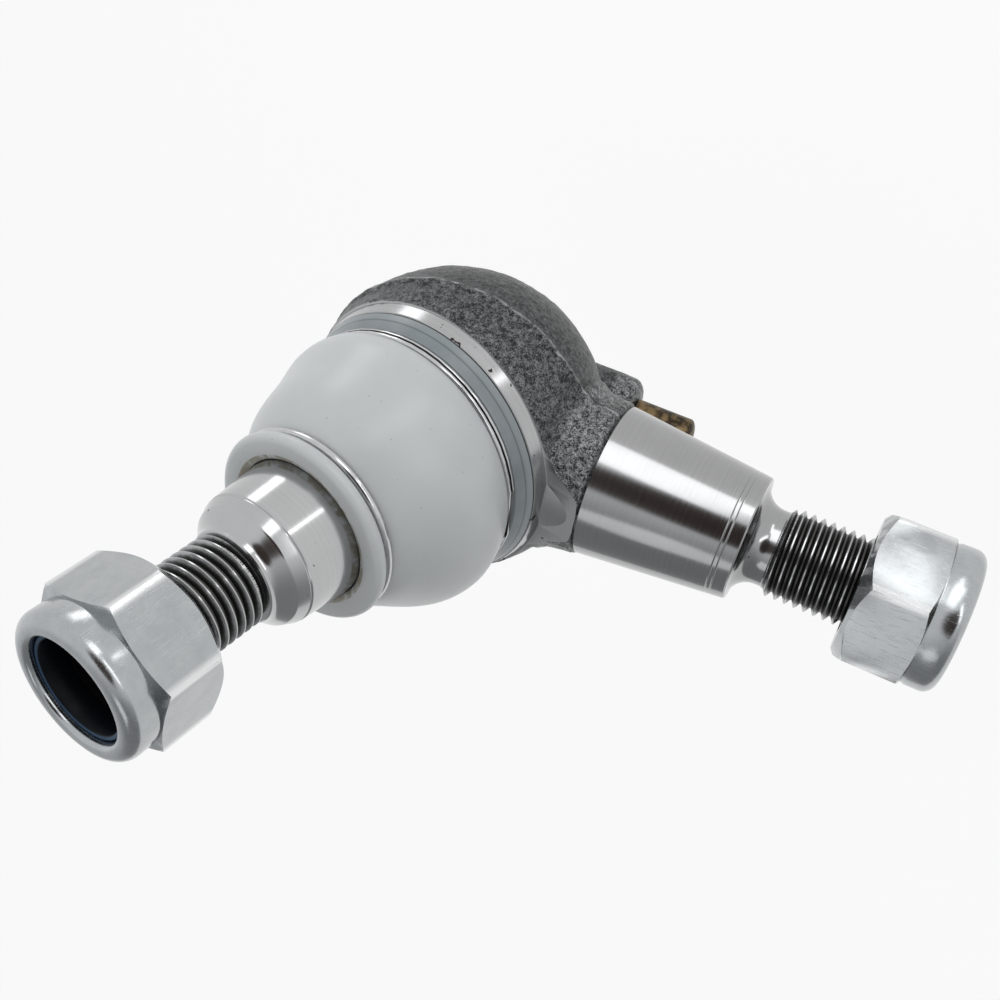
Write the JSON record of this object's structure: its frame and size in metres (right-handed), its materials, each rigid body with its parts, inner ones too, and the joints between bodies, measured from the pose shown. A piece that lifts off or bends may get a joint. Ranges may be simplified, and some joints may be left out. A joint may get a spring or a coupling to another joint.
{
  "type": "suspension ball joint",
  "caption": "Suspension ball joint: forged cup with a coned, threaded shank and locating pin, tilting ball stud, dust boot with wire clamps and lock nuts.",
  "frame": {"origin": "centre of the ball", "axes": "+Z along the stud towards its thread; the shank leaves towards +X and slopes 10 degrees below the XY plane"},
  "size_m": [0.1065, 0.0486, 0.1034],
  "materials": {
    "forged_steel": "blasted forging with turned bands",
    "brown_steel": "oiled, browned",
    "seat_plastic": "moulded",
    "bare_steel": "pressed",
    "boot_rubber": "milky, satin",
    "spring_wire": "bright drawn",
    "turned_steel": "fine turned",
    "blue_nylon": "moulded",
    "zinc_plate": "bright plated, lightly scratched"
  },
  "bodies": {
    "carrier_side": {"housing": "forged_steel", "locating_pin": "brown_steel", "ball_seat": "seat_plastic", "closing_ring": "bare_steel"},
    "boot_side": {"dust_boot": "boot_rubber", "boot_large_clamp": "spring_wire"},
    "leaning_side": {"boot_small_clamp": "spring_wire"},
    "stud": {"ball_stud": "turned_steel"},
    "stud_nut_travel": {"stud_nut_insert": "blue_nylon"},
    "stud_nut": {"stud_nut": "zinc_plate"},
    "shank_nut_travel": {"shank_nut_insert": "blue_nylon"},
    "shank_nut": {"shank_nut": "zinc_plate"}
  },
  "joints": [
    {"name": "stud_swing", "type": "hinge", "parent": "carrier_side", "child": "boot_side", "pos_m": [0, 0, 0], "axis": [0, 0, 1], "continuous": true},
    {"name": "stud_tilt", "type": "hinge", "parent": "boot_side", "child": "leaning_side", "pos_m": [0, 0, 0], "axis": [0, 1, 0], "range_deg": [-20, 20], "deforming": ["dust_boot"]},
    {"name": "stud_spin", "type": "hinge", "parent": "leaning_side", "child": "stud", "pos_m": [0, 0, 0], "axis": [0, 0, 1], "continuous": true},
    {"name": "stud_nut_slide", "type": "slide", "parent": "stud", "child": "stud_nut_travel", "axis": [0, 0, 1], "range_m": [-0.0091, 0.0091]},
    {"name": "stud_nut_turn", "type": "hinge", "parent": "stud_nut_travel", "child": "stud_nut", "pos_m": [0, 0, 0.0685], "axis": [0, 0, 1], "range_deg": [-2160, 2160]},
    {"name": "shank_nut_slide", "type": "slide", "parent": "carrier_side", "child": "shank_nut_travel", "axis": [0.9848, 0, -0.1736], "range_m": [-0.0091, 0.0091]},
    {"name": "shank_nut_turn", "type": "hinge", "parent": "shank_nut_travel", "child": "shank_nut", "pos_m": [0.07337, 0, -0.01294], "axis": [0.9848, 0, -0.1736], "range_deg": [-2160, 2160]}
  ],
  "couplings": [
    {"joint": "stud_nut_slide", "follows": "stud_nut_turn", "m_per_rad": 0.00023873},
    {"joint": "shank_nut_slide", "follows": "shank_nut_turn", "m_per_rad": 0.00023873}
  ]
}
